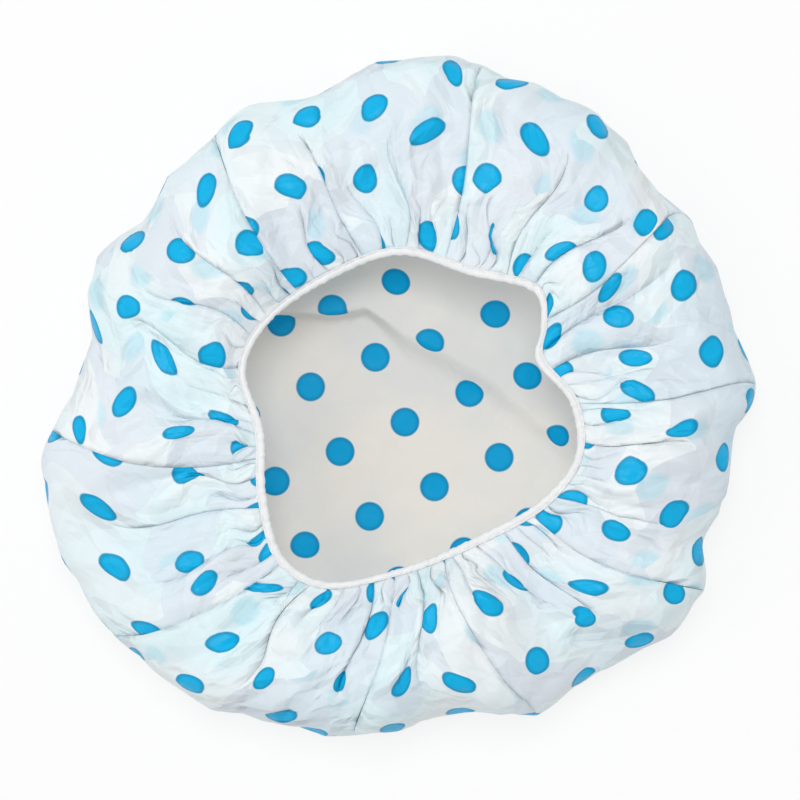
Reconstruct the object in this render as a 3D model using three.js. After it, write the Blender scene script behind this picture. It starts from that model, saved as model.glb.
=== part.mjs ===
// Shower cap lying open side up: one printed film disc gathered into a white bound hem,
// with a flat elastic running loose inside the binding. Millimetres, +Z up, the film's
// footprint on z = 0.
import * as THREE from "three";

const { degToRad, euclideanModulo, lerp, radToDeg, smoothstep } = THREE.MathUtils;
const TURN = Math.PI * 2;
const TURN_DEGREES = 360;

// Cap as it lies
const laidWidth = 287; // widest span of the belly
const filmCentre = new THREE.Vector2(2, -5); // middle of the film disc, on the ground
const bellyOverhang = 26; // how far the belly swells out past the footprint
const bellyHeight = 21; // height of the widest ring
const crestInset = 30; // the top of the skirt lies this far inside the belly
const crestHeight = 47; // height of the top of the skirt, before its swells
const filmThickness = 0.1;

// Swells and dips of the crest: [degrees round the cap, how far up, half width in degrees]
const crestSwells = [
  [18, -3, 14], [42, 5, 9], [72, -3, 20], [152, 7, 26], [203, -3, 20], [265, 7, 26], [326, -2, 12],
  [347, 7, 13],
];

// Swells of the skirt between hem and belly: [how far out, how many to the round, start in radians]
const skirtSwells = [[2, 5, 0.6], [1.5, 7, 2.4], [1, 11, 1.3], [0.8, 14, 4]];
const swellRange = [0, 22, 62, 100]; // distances from the hem: none, full, full, none

// Tucks of the skirt, where the gathered film goes down between its panels:
// [degrees at the hem, degrees at the far end, reach from the hem, lean to the right]
const tucks = [
  [5, 3, 110, 0.7], [12, 10, 45, -0.4], [19, 14, 100, 0.7], [27, 29, 66, -0.5], [36, 34, 105, 0.3],
  [47, 41, 60, 0.8], [56, 60, 100, 0.3], [66, 68, 34, -0.5], [78, 76, 105, 0.4], [92, 92, 96, 0.2],
  [100, 104, 36, 0.4], [107, 114, 102, -0.6], [119, 120, 40, 0.5], [132, 124, 112, 0.5],
  [145, 138, 105, -0.7], [153, 153, 62, -0.4], [164, 163, 102, -0.7], [176, 170, 34, 0.4],
  [186, 176, 42, 0.5], [195, 183, 115, -0.5], [211, 193, 112, -0.6], [220, 212, 56, 0.3],
  [228, 217, 112, 0.6], [239, 237, 105, -0.3], [248, 246, 28, 0.3], [257, 258, 62, -0.5],
  [264, 262, 108, 0.4], [272, 275, 60, -0.4], [283, 294, 108, 0.6], [297, 311, 46, -0.5],
  [309, 315, 104, 0.3], [321, 329, 110, -0.6], [331, 339, 56, 0.4], [341, 348, 100, -0.4],
  [352, 353, 54, 0.5],
];
const tuckDepth = 7;
const tuckGap = 2.2; // between the two lips of a tuck
const tuckTilt = 0.85; // sine of the angle at which a tuck of lean 1 lies over
const tuckStep = 1.8; // how far one lip of a tuck of lean 1 stands out, and the other in
const tuckClosing = 28; // over this distance the tucks close towards the hem

// Mouth and hem
const mouthLength = 415; // round the inner edge of the relaxed hem
const mouthCentre = new THREE.Vector2(6, -8);
const hemDrop = 6; // the film's edge lies this far below the crest
const hemSway = 3; // rise and fall of the hem, twice on the way round
const hemSwayStart = 1.1; // radians
const bindingThickness = 0.15;
const lipLength = 1; // the binding's two lips reach this far over the film
const slotClearance = 0.3; // between the film and each lip

// Elastic and its whipped lap
const elasticWidth = 1.2;
const elasticThickness = 0.4;
const lapLength = 12; // the two ends lie over each other for this length
const lapGap = 0.12;
const whippingTurns = 6;
const whippingLength = 8;
const whippingCut = 0.8; // each turn's corners are cut off from this share of its sides
const whippingClearance = 0.1; // between the whipping thread and the elastic
const tunnelClearance = 0.12; // between the whipping and the binding

// Thread
const threadDiameter = 0.14;
const zigzagWidth = 0.5;
const zigzagCount = 104;
const threadClearance = 0.1; // between the stitches and the binding

// Mesh fineness
const hemColumns = 112;
const arcRings = 3; // rings in each arc of the profile
const skirtFalls = [0.3, 0.58, 0.8]; // rings between the crest and the hem
const lengthSteps = 16; // chords in the length of a stretch of profile
const outlineSamples = 360;

// Outlines in plan, as the cap lies: points on smooth closed curves. The mouth's are about its
// own centre, and each curve is brought to its length or width above.
const mouthPoints = [
  [-5, 66], [23, 58], [50, 50], [52, 36], [50, 24], [64, 6], [66, -15], [53, -33], [27, -48],
  [-5, -61], [-36, -66], [-52, -56], [-59, -31], [-60, -5], [-67, 20], [-58, 38], [-33, 56],
];
const bellyPoints = [
  [143, 1], [121, 59], [99, 89], [73, 117], [41, 128], [9, 134], [-47, 118], [-69, 108],
  [-93, 79], [-117, 54], [-128, 0], [-143, -29], [-119, -84], [-99, -110], [-43, -130],
  [0, -134], [30, -124], [62, -121], [122, -78], [122, -53], [134, -19],
];

const colours = {
  film: { color: 0xeef4f7, roughness: 0.35, metalness: 0 },
  binding: { color: 0xf7f8f8, roughness: 0.7, metalness: 0 },
  elastic: { color: 0xe9e6dd, roughness: 0.85, metalness: 0 },
  thread: { color: 0xffffff, roughness: 0.6, metalness: 0 },
};

// A smooth closed curve through points in plan.
function closedCurve(points) {
  const corners = points.map(([x, y]) => new THREE.Vector3(x, y, 0));
  return new THREE.CatmullRomCurve3(corners, true, "centripetal");
}

// Distance from a centre to a closed curve, as a function of the angle about that centre.
function radiusAbout(curve, scale, centre) {
  const ring = curve.getSpacedPoints(outlineSamples).slice(0, -1).map((p) => {
    const x = p.x * scale - centre.x;
    const y = p.y * scale - centre.y;
    return { angle: (Math.atan2(y, x) + TURN) % TURN, radius: Math.hypot(x, y) };
  });
  ring.sort((a, b) => a.angle - b.angle);
  const first = ring[0];
  const last = ring[ring.length - 1];
  ring.push({ angle: first.angle + TURN, radius: first.radius });
  ring.unshift({ angle: last.angle - TURN, radius: last.radius });
  return (angle) => {
    const wanted = ((angle % TURN) + TURN) % TURN;
    const after = ring.findIndex((p) => p.angle > wanted);
    const a = ring[after - 1];
    const b = ring[after];
    return a.radius + ((b.radius - a.radius) * (wanted - a.angle)) / (b.angle - a.angle);
  };
}

const mouthCurve = closedCurve(mouthPoints);
const mouthRadius = radiusAbout(mouthCurve, mouthLength / mouthCurve.getLength(), new THREE.Vector2());
const bellyXs = closedCurve(bellyPoints).getSpacedPoints(outlineSamples).map((p) => p.x);
const bellyScale = laidWidth / (Math.max(...bellyXs) - Math.min(...bellyXs));
const bellyRadius = radiusAbout(closedCurve(bellyPoints), bellyScale, filmCentre);

// Binding's tunnel: an ellipse round the cut corners of the whipping on the elastic's lap
const lapHeight = 2 * elasticThickness + lapGap;
const whippingReach = whippingClearance + threadDiameter;
const roundCorners = Math.hypot(1, whippingCut);
const tunnelHalfWidth = roundCorners * (elasticWidth / 2 + whippingReach) + tunnelClearance;
const tunnelHalfHeight = roundCorners * (lapHeight / 2 + whippingReach) + tunnelClearance;
const slotHalfHeight = filmThickness / 2 + slotClearance;
const lipHalfHeight = slotHalfHeight + bindingThickness;
const bindingDepth = 2 * tunnelHalfWidth + bindingThickness; // from the film's edge to the mouth

// Height of the crest at an angle.
function crestAt(angle) {
  return crestSwells.reduce((height, [at, up, halfWidth]) => {
    const after = euclideanModulo(radToDeg(angle) - at, TURN_DEGREES);
    const apart = Math.min(after, TURN_DEGREES - after);
    return height + up * Math.exp(-((apart / halfWidth) ** 2));
  }, crestHeight);
}

// A place in plan, by its distance and angle from a centre.
function polar(centre, radius, angle) {
  return new THREE.Vector2(Math.cos(angle), Math.sin(angle)).multiplyScalar(radius).add(centre);
}

// The film's middle surface before its gathers, at an angle round the cap: from the footprint
// (s = 0) round the belly (1), over the crest (2) and down to the film's edge in the hem (3).
// Quarter ellipses to the belly and the crest, then a parabola.
function profile(angle, s) {
  const quarter = (s % 1) * (Math.PI / 2);
  if (s < 1) {
    const radius = bellyRadius(angle) - bellyOverhang * (1 - Math.sin(quarter));
    const foot = polar(filmCentre, radius, angle);
    return new THREE.Vector3(foot.x, foot.y, bellyHeight * (1 - Math.cos(quarter)) + filmThickness / 2);
  }
  const belly = polar(filmCentre, bellyRadius(angle), angle);
  const edge = polar(mouthCentre, mouthRadius(angle) + bindingDepth, angle);
  const span = belly.distanceTo(edge);
  const crest = crestAt(angle);
  let inward = crestInset * (1 - Math.cos(quarter));
  let height = bellyHeight + (crest - bellyHeight) * Math.sin(quarter);
  if (s >= 2) {
    const hemHeight = crestHeight - hemDrop + hemSway * Math.sin(2 * angle + hemSwayStart);
    const fall = s - 2;
    inward = crestInset + (span - crestInset) * fall;
    height = crest + (hemHeight - crest) * fall * fall;
  }
  const place = belly.lerp(edge, inward / span);
  return new THREE.Vector3(place.x, place.y, height + filmThickness / 2);
}

// How the surface runs at a place: per unit of angle, and per unit of s towards the hem.
function runs(angle, s) {
  const step = 1e-3;
  const difference = (a, b) => a.sub(b).divideScalar(2 * step);
  return {
    around: difference(profile(angle + step, s), profile(angle - step, s)),
    along: difference(profile(angle, s + step), profile(angle, s - step)),
  };
}

// Length of the profile from a place on it to the film's edge.
function wayToHem(angle, s) {
  let way = 0;
  for (let i = 0; i < lengthSteps; i += 1) {
    const from = s + ((3 - s) * i) / lengthSteps;
    const to = s + ((3 - s) * (i + 1)) / lengthSteps;
    way += profile(angle, from).distanceTo(profile(angle, to));
  }
  return way;
}

// A place on the film: the profile, moved out along its normal by the swells and in by a sink.
function filmPoint(angle, s, sink) {
  const { around, along } = runs(angle, s);
  const outward = around.cross(along).normalize();
  const [none, full, stillFull, noneAgain] = swellRange;
  const way = wayToHem(angle, s);
  const share = smoothstep(way, none, full) * (1 - smoothstep(way, stillFull, noneAgain));
  const waves = skirtSwells.map(([out, count, start]) => out * Math.cos(count * angle + start));
  const swell = waves.reduce((sum, wave) => sum + wave);
  return profile(angle, s).addScaledVector(outward, share * swell - sink);
}

const slotReach = lipLength + 2 * slotClearance; // the film is clear of the binding from here on

// One ring of the film: for each tuck its left lip, its bottom and its right lip, and then the
// middle of the panel up to the next tuck.
function filmRing(s) {
  const creases = tucks.map(([hemDegrees, farDegrees, reach, lean]) => {
    const way = wayToHem(degToRad(hemDegrees), s);
    const angle = degToRad(lerp(hemDegrees, farDegrees, Math.min(way / reach, 1)));
    const fullness = (1 - smoothstep(way, reach / 2, reach)) * smoothstep(way, slotReach, tuckClosing);
    const depth = tuckDepth * fullness;
    const tilt = tuckTilt * lean;
    const step = tuckStep * lean * fullness;
    const perLength = 1 / runs(angle, s).around.length();
    return [
      { angle: angle - (tuckGap / 2) * perLength, sink: step },
      { angle: angle + tilt * depth * perLength, sink: depth * Math.sqrt(1 - tilt * tilt) },
      { angle: angle + (tuckGap / 2) * perLength, sink: -step },
    ];
  });
  return creases.flatMap((crease, i) => {
    const last = i + 1 === creases.length;
    const next = last ? creases[0][0].angle + TURN : creases[i + 1][0].angle;
    return [...crease, { angle: (crease[2].angle + next) / 2, sink: 0 }];
  });
}

// Profile parameters of the film's rings, from the footprint to the last before the hem.
const filmRings = [
  ...Array.from({ length: 2 * arcRings + 1 }, (_, i) => i / arcRings),
  ...skirtFalls.map((fall) => 2 + fall),
];

// Where the film comes out of the binding, as a profile parameter.
function slotMouth(angle) {
  return 3 - slotReach / runs(angle, 3).along.length();
}

// The film disc: its middle surface, thickened to both sides and closed along its edge.
function filmGeometry() {
  const rings = filmRings.map((s) => filmRing(s).map(({ angle, sink }) => filmPoint(angle, s, sink)));
  const edgeAngles = filmRing(3).map(({ angle }) => angle);
  rings.push(edgeAngles.map((angle) => filmPoint(angle, slotMouth(angle), 0)));
  rings.push(edgeAngles.map((angle) => filmPoint(angle, 3, 0)));
  const columns = edgeAngles.length;
  const centre = new THREE.Vector3(filmCentre.x, filmCentre.y, filmThickness / 2);
  const middle = [centre, ...rings.flat()].flatMap((p) => p.toArray());
  const vertex = (ring, column) => 1 + ring * columns + (column % columns);
  const faces = [];
  for (let c = 0; c < columns; c += 1) {
    faces.push(0, vertex(0, c + 1), vertex(0, c));
    for (let r = 0; r + 1 < rings.length; r += 1) {
      faces.push(vertex(r, c), vertex(r, c + 1), vertex(r + 1, c));
      faces.push(vertex(r, c + 1), vertex(r + 1, c + 1), vertex(r + 1, c));
    }
  }
  const normal = closedGeometry(middle, faces).getAttribute("normal");
  for (let i = 0; i <= columns; i += 1) {
    normal.setXYZ(i, 0, 0, -1); // the footprint stays flat
  }
  const count = normal.count;
  const skins = [];
  for (const side of [1, -1]) {
    for (let i = 0; i < 3 * count; i += 1) {
      skins.push(middle[i] + (side * filmThickness * normal.array[i]) / 2);
    }
  }
  const triangles = [...faces];
  for (let i = 0; i < faces.length; i += 3) {
    triangles.push(faces[i] + count, faces[i + 2] + count, faces[i + 1] + count);
  }
  const edge = rings.length - 1;
  for (let c = 0; c < columns; c += 1) {
    const a = vertex(edge, c);
    const b = vertex(edge, c + 1);
    triangles.push(a, b, a + count, b, b + count, a + count);
  }
  return closedGeometry(skins, triangles);
}

function closedGeometry(positions, triangles) {
  const geometry = new THREE.BufferGeometry();
  geometry.setAttribute("position", new THREE.Float32BufferAttribute(positions, 3));
  geometry.setIndex(triangles);
  geometry.computeVertexNormals();
  return geometry;
}

// A point of the hem's cross-section at a column. Across runs out along the film from its edge,
// over stands on the film's upper face.
function hemStation(column, across, over) {
  const angle = (column / hemColumns) * TURN;
  const outward = runs(angle, 3).along.normalize().negate();
  const level = new THREE.Vector3(outward.x, outward.y, 0).normalize();
  const upward = level.multiplyScalar(-outward.z);
  upward.z = Math.hypot(outward.x, outward.y);
  return profile(angle, 3).addScaledVector(outward, across).addScaledVector(upward, over);
}

// The same at any place along the hem, which runs straight from column to column.
function hemPoint(place, across, over) {
  const column = Math.floor(place);
  const next = hemStation(column + 1, across, over);
  return hemStation(column, across, over).lerp(next, place - column);
}

// Carries a closed section along the hem. stations gives, for each step, the section's points
// as [column, across, over]. A looped sweep joins its last step to its first.
function sweep(stations, looped) {
  const sides = stations[0].length;
  const positions = stations.flat().flatMap((p) => hemPoint(...p).toArray());
  const triangles = [];
  const steps = looped ? stations.length : stations.length - 1;
  for (let i = 0; i < steps; i += 1) {
    const next = ((i + 1) % stations.length) * sides;
    for (let k = 0; k < sides; k += 1) {
      const l = (k + 1) % sides;
      triangles.push(i * sides + k, next + k, i * sides + l);
      triangles.push(i * sides + l, next + k, next + l);
    }
  }
  if (!looped) {
    const outline = stations[0].map(([, across, over]) => new THREE.Vector2(across, over));
    const end = (stations.length - 1) * sides;
    for (const [a, b, c] of THREE.ShapeUtils.triangulateShape(outline, [])) {
      triangles.push(a, b, c, end + a, end + c, end + b);
    }
  }
  return closedGeometry(positions, triangles);
}

// The binding: a strip folded into a tunnel, its two lips over the film's edge.
function bindingGeometry() {
  const outerWidth = tunnelHalfWidth + bindingThickness;
  const outerHeight = tunnelHalfHeight + bindingThickness;
  const outerStart = Math.asin(lipHalfHeight / outerHeight);
  const innerStart = Math.asin(slotHalfHeight / tunnelHalfHeight);
  const centre = -tunnelHalfWidth;
  const arc = (halfWidth, halfHeight, from, to, steps) =>
    new THREE.EllipseCurve(centre, 0, halfWidth, halfHeight, from, to, from > to).getPoints(steps);
  const section = [
    new THREE.Vector2(lipLength, lipHalfHeight),
    ...arc(outerWidth, outerHeight, outerStart, TURN - outerStart, 6),
    new THREE.Vector2(lipLength, -lipHalfHeight),
    new THREE.Vector2(lipLength, -slotHalfHeight),
    ...arc(tunnelHalfWidth, tunnelHalfHeight, TURN - innerStart, innerStart, 7),
    new THREE.Vector2(lipLength, slotHalfHeight),
  ];
  const stations = [];
  for (let c = 0; c < hemColumns; c += 1) {
    stations.push(section.map(({ x, y }) => [c, x, y]));
  }
  return sweep(stations, true);
}

// Columns that a length along the hem takes up.
const columnsPerLength = hemColumns / mouthLength;
const lapColumns = lapLength * columnsPerLength;
const elasticCentre = -tunnelHalfWidth;

// The elastic: one open band, climbing by one layer on its way round so that its ends lap.
function elasticGeometry() {
  const length = hemColumns + lapColumns;
  const steps = Math.ceil(length);
  const halfWidth = elasticWidth / 2;
  const halfThickness = elasticThickness / 2;
  const climb = ((elasticThickness + lapGap) * length) / hemColumns;
  const stations = [];
  for (let i = 0; i <= steps; i += 1) {
    const way = i / steps;
    const column = way * length - lapColumns / 2;
    const level = climb * (way - 0.5);
    stations.push([
      [column, elasticCentre + halfWidth, level - halfThickness],
      [column, elasticCentre + halfWidth, level + halfThickness],
      [column, elasticCentre - halfWidth, level + halfThickness],
      [column, elasticCentre - halfWidth, level - halfThickness],
    ]);
  }
  return sweep(stations, false);
}

// A thread through points of the hem, given as [column, across, over]: a tube of a few sides.
// Its sides are laid out from a direction that the thread never runs along.
function threadGeometry(route, sides, looped, crosswise) {
  const points = route.map((p) => hemPoint(...p));
  const count = points.length;
  const radius = threadDiameter / 2;
  const positions = [];
  points.forEach((p, i) => {
    const before = points[looped ? (i + count - 1) % count : Math.max(i - 1, 0)];
    const after = points[looped ? (i + 1) % count : Math.min(i + 1, count - 1)];
    const along = after.clone().sub(before).normalize();
    const first = crosswise.clone().addScaledVector(along, -along.dot(crosswise)).normalize();
    const second = along.clone().cross(first);
    for (let k = 0; k < sides; k += 1) {
      const turn = (k / sides) * TURN;
      const rim = p.clone().addScaledVector(first, radius * Math.cos(turn));
      positions.push(...rim.addScaledVector(second, radius * Math.sin(turn)));
    }
  });
  const triangles = [];
  for (let i = 0; i < (looped ? count : count - 1); i += 1) {
    const next = ((i + 1) % count) * sides;
    for (let k = 0; k < sides; k += 1) {
      const l = (k + 1) % sides;
      triangles.push(i * sides + k, i * sides + l, next + k);
      triangles.push(i * sides + l, next + l, next + k);
    }
  }
  if (!looped) {
    const end = (count - 1) * sides;
    for (let k = 1; k + 1 < sides; k += 1) {
      triangles.push(0, k + 1, k, end, end + k, end + k + 1);
    }
  }
  return closedGeometry(positions, triangles);
}

// One thread of the zigzag seam, on the binding's upper (side 1) or lower (side -1) lip.
function stitchGeometry(side) {
  const over = side * (lipHalfHeight + threadClearance + threadDiameter / 2);
  const middle = lipLength / 2;
  const route = [];
  for (let i = 0; i < 2 * zigzagCount; i += 1) {
    const swing = (i % 2 ? 0.5 : -0.5) * zigzagWidth;
    route.push([(i / (2 * zigzagCount)) * hemColumns, middle + swing, over]);
  }
  return threadGeometry(route, 3, true, new THREE.Vector3(0, 0, 1));
}

// The whipping: thread wound round the elastic's lap.
function whippingGeometry() {
  const reach = whippingClearance + threadDiameter / 2;
  const width = elasticWidth / 2 + reach;
  const height = lapHeight / 2 + reach;
  const cut = whippingCut;
  const corners = [
    [1, cut], [cut, 1], [-cut, 1], [-1, cut], [-1, -cut], [-cut, -1], [cut, -1], [1, -cut],
  ];
  const steps = whippingTurns * corners.length;
  const route = [];
  for (let i = 0; i <= steps; i += 1) {
    const [across, over] = corners[i % corners.length];
    const column = (i / steps - 0.5) * whippingLength * columnsPerLength;
    route.push([column, elasticCentre + across * width, over * height]);
  }
  const alongHem = hemPoint(1, 0, 0).sub(hemPoint(-1, 0, 0)).normalize();
  return threadGeometry(route, 4, false, alongHem);
}

function piece(name, geometry, finish) {
  const mesh = new THREE.Mesh(geometry, new THREE.MeshStandardMaterial(finish));
  mesh.name = name;
  return mesh;
}

const cap = new THREE.Group();
cap.add(piece("cap_film", filmGeometry(), colours.film));
const hem = new THREE.Group();
hem.add(piece("hem_binding", bindingGeometry(), colours.binding));
hem.add(piece("elastic_band", elasticGeometry(), colours.elastic));
hem.add(piece("elastic_whipping", whippingGeometry(), colours.thread));
hem.add(piece("needle_thread", stitchGeometry(1), colours.thread));
hem.add(piece("bobbin_thread", stitchGeometry(-1), colours.thread));
cap.add(hem);

export default cap;
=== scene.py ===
import math
import time

import bpy
import numpy as np
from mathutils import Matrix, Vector


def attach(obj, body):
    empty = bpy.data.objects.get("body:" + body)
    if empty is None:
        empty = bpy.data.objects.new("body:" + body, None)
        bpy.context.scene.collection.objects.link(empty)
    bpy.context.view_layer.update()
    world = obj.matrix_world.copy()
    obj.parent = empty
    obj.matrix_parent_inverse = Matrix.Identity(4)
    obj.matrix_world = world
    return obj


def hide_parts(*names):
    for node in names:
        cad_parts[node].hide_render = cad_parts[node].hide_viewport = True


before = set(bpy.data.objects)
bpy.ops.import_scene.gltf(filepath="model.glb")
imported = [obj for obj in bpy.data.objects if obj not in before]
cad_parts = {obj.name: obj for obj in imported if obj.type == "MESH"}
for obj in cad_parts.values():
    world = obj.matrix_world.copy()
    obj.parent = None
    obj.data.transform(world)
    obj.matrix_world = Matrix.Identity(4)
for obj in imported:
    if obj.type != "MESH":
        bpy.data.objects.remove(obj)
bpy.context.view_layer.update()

turn = 2 * np.pi
mm = 0.001  # every shape below is worked out in millimetres
startTime = time.time()


def report(stage):
    print(f"{stage}: {time.time() - startTime:.1f} s")


# the cap as it lies: the same outlines and sizes as the solids
cap = {
    "laidWidth": 287.0,
    "mouthLength": 415.0,
    "mouthCentre": (6.0, -8.0),
    "filmCentre": (2.0, -5.0),
    "bellyOverhang": 26.0,
    "bellyHeight": 21.0,
    "crestInset": 30.0,
    "crestHeight": 47.0,
    # where the crest is higher or lower: degrees, by how much, and half the width in degrees
    "crestSwells": [
        (18, -3, 14), (42, 5, 9), (72, -3, 20), (152, 7, 26), (203, -3, 20), (265, 7, 26), (326, -2, 12),
        (347, 7, 13),
    ],
    "hemDrop": 6.0,
    "hemSway": 3.0,
    "hemSwayStart": 1.1,
    "filmMid": 0.05,
    "mouthPoints": [
        (-5, 66), (23, 58), (50, 50), (52, 36), (50, 24), (64, 6), (66, -15), (53, -33), (27, -48),
        (-5, -61), (-36, -66), (-52, -56), (-59, -31), (-60, -5), (-67, 20), (-58, 38), (-33, 56),
    ],
    "bellyPoints": [
        (143, 1), (121, 59), (99, 89), (73, 117), (41, 128), (9, 134), (-47, 118), (-69, 108),
        (-93, 79), (-117, 54), (-128, 0), (-143, -29), (-119, -84), (-99, -110), (-43, -130),
        (0, -134), (30, -124), (62, -121), (122, -78), (122, -53), (134, -19),
    ],
}

# binding: a strip folded into a tunnel round the elastic, its two lips over the film's edge
binding = {
    "tunnelHalfWidth": 1.196,
    "tunnelHalfHeight": 1.016,
    "thickness": 0.15,
    "lipLength": 1.0,
    "slotHalfHeight": 0.35,
    "stations": 900,
    "arcSteps": 24,
    "lipSteps": 4,
    "puckers": [(0.10, 60, 120), (0.05, 121, 210)],  # how high, and how many to the round
    "skew": 0.012,  # a pucker runs this far along the hem, in radians, from lip to lip
    "seed": 3,
}
bindingDepth = 2 * binding["tunnelHalfWidth"] + binding["thickness"]  # from the film's edge to the mouth
elasticCentre = -binding["tunnelHalfWidth"]


# closed centripetal Catmull-Rom curve: each span is a pyramid of linear blends between the four
# points round it, spaced by the square root of their distances
def closedCurve(points, steps=60):
    p = np.asarray(points, float)
    p0, p1, p2, p3 = (np.roll(p, shift, axis=0)[:, None, :] for shift in (1, 0, -1, -2))

    def knot(a, b):
        return np.sqrt(np.linalg.norm(b - a, axis=2, keepdims=True))

    t1 = knot(p0, p1)
    t2 = t1 + knot(p1, p2)
    t3 = t2 + knot(p2, p3)
    t = t1 + (t2 - t1) * (np.arange(steps) / steps)[None, :, None]
    a1 = ((t1 - t) * p0 + t * p1) / t1
    a2 = ((t2 - t) * p1 + (t - t1) * p2) / (t2 - t1)
    a3 = ((t3 - t) * p2 + (t - t2) * p3) / (t3 - t2)
    b1 = ((t2 - t) * a1 + t * a2) / t2
    b2 = ((t3 - t) * a2 + (t - t1) * a3) / (t3 - t1)
    return (((t2 - t) * b1 + (t - t1) * b2) / (t2 - t1)).reshape(-1, 2)


# distance from a centre to a closed curve, by the angle about that centre
def radiusAbout(curve, centre):
    away = curve - np.asarray(centre)
    angle = np.arctan2(away[:, 1], away[:, 0])
    order = np.argsort(angle)
    radius = np.hypot(away[:, 0], away[:, 1])[order]
    return lambda wanted: np.interp(wanted, angle[order], radius, period=turn)


def roundLength(points):
    return np.linalg.norm(np.roll(points, -1, axis=0) - points, axis=1).sum()


def heading(angle):
    return np.stack([np.cos(angle), np.sin(angle)], axis=-1)


def smooth(low, high, x):
    t = np.clip((x - low) / (high - low), 0, 1)
    return t * t * (3 - 2 * t)


# a smooth step up at one place and down at another
def hump(places, x):
    up, down = places
    return smooth(*up, x) * smooth(*down, x)


def blend(ends, share):
    return ends[0] + (ends[1] - ends[0]) * share


# smooth random function of the angle: a run of harmonics with falling weights
def wander(rng, angle, lowest, highest):
    orders = np.arange(lowest, highest + 1)
    phases = rng.uniform(0, turn, len(orders))
    weights = rng.uniform(0.5, 1.0, len(orders)) / np.sqrt(orders)
    wave = (weights * np.cos(np.multiply.outer(angle, orders) + phases)).sum(-1)
    return wave / np.sqrt((weights ** 2).sum() / 2)


mouthCurve = closedCurve(cap["mouthPoints"])
mouthCurve *= cap["mouthLength"] / roundLength(mouthCurve)
bellyCurve = closedCurve(cap["bellyPoints"])
bellyCurve *= cap["laidWidth"] / np.ptp(bellyCurve[:, 0])
mouthRadius = radiusAbout(mouthCurve, (0, 0))
bellyRadius = radiusAbout(bellyCurve, cap["filmCentre"])


# height of the skirt's crest: a few broad swells and dips on an even height
def crestAt(angle):
    height = cap["crestHeight"] + 0 * angle
    for at, high, width in cap["crestSwells"]:
        apart = np.mod(np.degrees(angle) - at + 180, 360) - 180
        height = height + high * np.exp(-(apart / width) ** 2)
    return height


# a point of the hem's cross-section: across runs out along the film from its edge, over stands on
# the film's upper face; both directions come from the slope of the film where it meets the hem
def hemPlace(angle, across, over):
    radius = mouthRadius(angle) + bindingDepth
    edge = np.asarray(cap["mouthCentre"]) + radius[..., None] * heading(angle)
    height = cap["crestHeight"] - cap["hemDrop"] + cap["hemSway"] * np.sin(2 * angle + cap["hemSwayStart"])
    out = np.asarray(cap["filmCentre"]) + bellyRadius(angle)[..., None] * heading(angle) - edge
    span = np.linalg.norm(out, axis=-1)
    run = span - cap["crestInset"]
    rise = 2 * (crestAt(angle) - height)
    slope = np.hypot(run, rise)
    place = edge + out * ((across * run - over * rise) / (slope * span))[..., None]
    z = height + (across * rise + over * run) / slope + cap["filmMid"]
    return np.concatenate([place, z[..., None]], axis=-1)


# angle of a share of the way round the hem
def hemAngle(share):
    return share * turn


# meshes: a grid of quads, rows by columns, each way open or closed on itself
def gridFaces(rows, columns, rowsClosed, columnsClosed, first=0):
    i = np.arange(rows if rowsClosed else rows - 1)[:, None]
    k = np.arange(columns if columnsClosed else columns - 1)[None, :]
    below = (i + 1) % rows
    beside = (k + 1) % columns
    corners = [i * columns + k, i * columns + beside, below * columns + beside, below * columns + k]
    return np.stack(corners, axis=-1).reshape(-1, 4) + first


def newPiece(name, points, faceSets, uvs, uvName):
    mesh = bpy.data.meshes.new(name)
    faces = [face for faceSet in faceSets for face in faceSet.tolist()]
    mesh.from_pydata((points * mm).tolist(), [], faces)
    corner = np.empty(len(mesh.loops), np.int32)
    mesh.loops.foreach_get("vertex_index", corner)
    mesh.uv_layers.new(name=uvName).data.foreach_set("uv", uvs[corner].astype(np.float32).ravel())
    mesh.polygons.foreach_set("use_smooth", np.ones(len(mesh.polygons), bool))
    mesh.update()
    piece = bpy.data.objects.new(name, mesh)
    bpy.context.collection.objects.link(piece)
    return piece


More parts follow.
